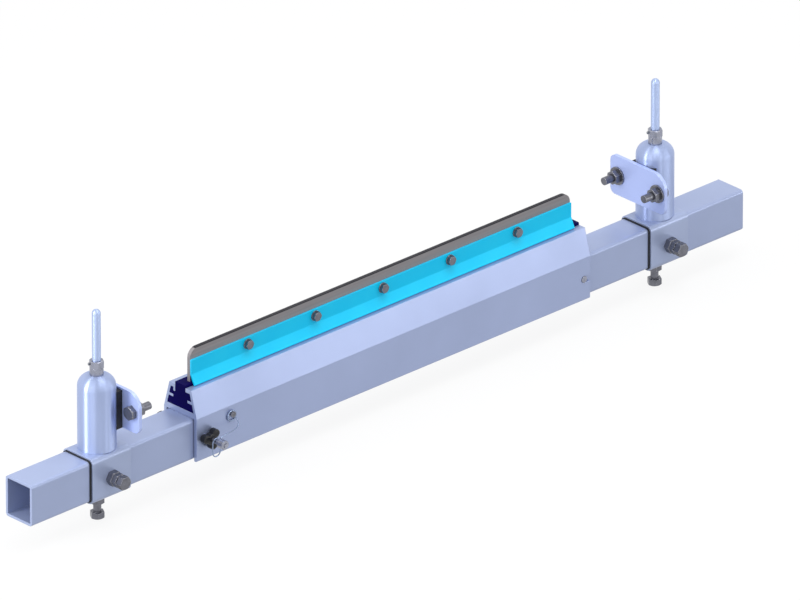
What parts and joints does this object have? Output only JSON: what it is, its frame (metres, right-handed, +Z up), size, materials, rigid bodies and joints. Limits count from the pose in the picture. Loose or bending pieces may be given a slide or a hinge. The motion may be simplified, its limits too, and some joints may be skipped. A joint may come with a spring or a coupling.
{
  "type": "conveyor belt scraper",
  "caption": "Belt scraper: rectangular cross beam with an extruded blade cover, upright blade, locking pin and a sprung tensioner with mounting plate at each end.",
  "frame": {"origin": "middle of the beam's length, at the centre of its rectangular section, midway between the two tensioners", "axes": "+X along the beam towards the end with the open notch, +Y towards the back, away from the locking pin's handle, +Z up at the belt"},
  "size_m": [1.428, 0.1425, 0.3337],
  "materials": {
    "beam_steel": "satin lavender grey",
    "cover_aluminium": "satin extruded",
    "clamp_steel": "satin lavender grey",
    "housing_steel": "polished",
    "zinc_steel": "satin zinc",
    "spring_steel": "oiled",
    "core_elastomer": "matte navy",
    "blade_polymer": "matte grey",
    "backing_blue": "satin bright blue",
    "black_rubber": "matte",
    "black_plastic": "fine grain",
    "wire_steel": "bright wire"
  },
  "bodies": {
    "beam": {"beam_tube": "beam_steel", "hook_pin": "zinc_steel", "blade_cover": "cover_aluminium", "lanyard_stud": "zinc_steel", "lanyard_ring": "wire_steel"},
    "blade_cassette": {"elastomer_core": "core_elastomer", "scraper_blade": "blade_polymer", "backing_plate": "backing_blue", "blade_screws": "zinc_steel", "blade_washers": "zinc_steel", "blade_nuts": "zinc_steel"},
    "locking_pin": {"locking_pin": "zinc_steel", "locking_pin_nose": "black_plastic", "locking_pin_handle": "black_plastic", "lanyard_link": "wire_steel", "lanyard": "wire_steel"},
    "left_clamp": {"left_collar": "clamp_steel", "left_collar_liner": "black_rubber", "left_boss_nuts": "zinc_steel", "left_lock_nuts": "zinc_steel", "left_jam_bolts": "zinc_steel", "left_tension_rod": "zinc_steel", "left_spring_seat": "zinc_steel", "left_spring_nut": "zinc_steel", "left_spring": "spring_steel"},
    "left_tensioner": {"left_housing": "housing_steel", "left_end_plug": "housing_steel", "left_gland": "zinc_steel", "left_gland_nut": "zinc_steel", "left_gland_screw": "spring_steel", "left_mounting_plate": "clamp_steel", "left_saddle_pad": "black_rubber", "left_plate_bolts": "zinc_steel", "left_plate_washers": "zinc_steel", "left_plate_nuts": "zinc_steel"},
    "right_clamp": {"right_collar": "clamp_steel", "right_collar_liner": "black_rubber", "right_boss_nuts": "zinc_steel", "right_lock_nuts": "zinc_steel", "right_jam_bolts": "zinc_steel", "right_tension_rod": "zinc_steel", "right_spring_seat": "zinc_steel", "right_spring_nut": "zinc_steel", "right_spring": "spring_steel"},
    "right_tensioner": {"right_housing": "housing_steel", "right_end_plug": "housing_steel", "right_gland": "zinc_steel", "right_gland_nut": "zinc_steel", "right_gland_screw": "spring_steel", "right_mounting_plate": "clamp_steel", "right_saddle_pad": "black_rubber", "right_plate_bolts": "zinc_steel", "right_plate_washers": "zinc_steel", "right_plate_nuts": "zinc_steel"}
  },
  "joints": [
    {"name": "cassette_slide", "type": "slide", "parent": "beam", "child": "blade_cassette", "axis": [-1, 0, 0], "range_m": [0, 0.12]},
    {"name": "locking_pin_pull", "type": "slide", "parent": "beam", "child": "locking_pin", "axis": [0, -1, 0], "range_m": [0, 0.105]},
    {"name": "left_clamp_slide", "type": "slide", "parent": "beam", "child": "left_clamp", "axis": [-1, 0, 0], "range_m": [-0.1, 0.1]},
    {"name": "left_tension", "type": "slide", "parent": "left_clamp", "child": "left_tensioner", "axis": [0, 0, 1], "range_m": [0, 0.035], "stiffness_N_per_m": 6000, "springref_m": -0.02, "deforming": ["left_spring"]},
    {"name": "right_clamp_slide", "type": "slide", "parent": "beam", "child": "right_clamp", "axis": [1, 0, 0], "range_m": [-0.1, 0.1]},
    {"name": "right_tension", "type": "slide", "parent": "right_clamp", "child": "right_tensioner", "axis": [0, 0, 1], "range_m": [0, 0.035], "stiffness_N_per_m": 6000, "springref_m": -0.02, "deforming": ["right_spring"]}
  ]
}
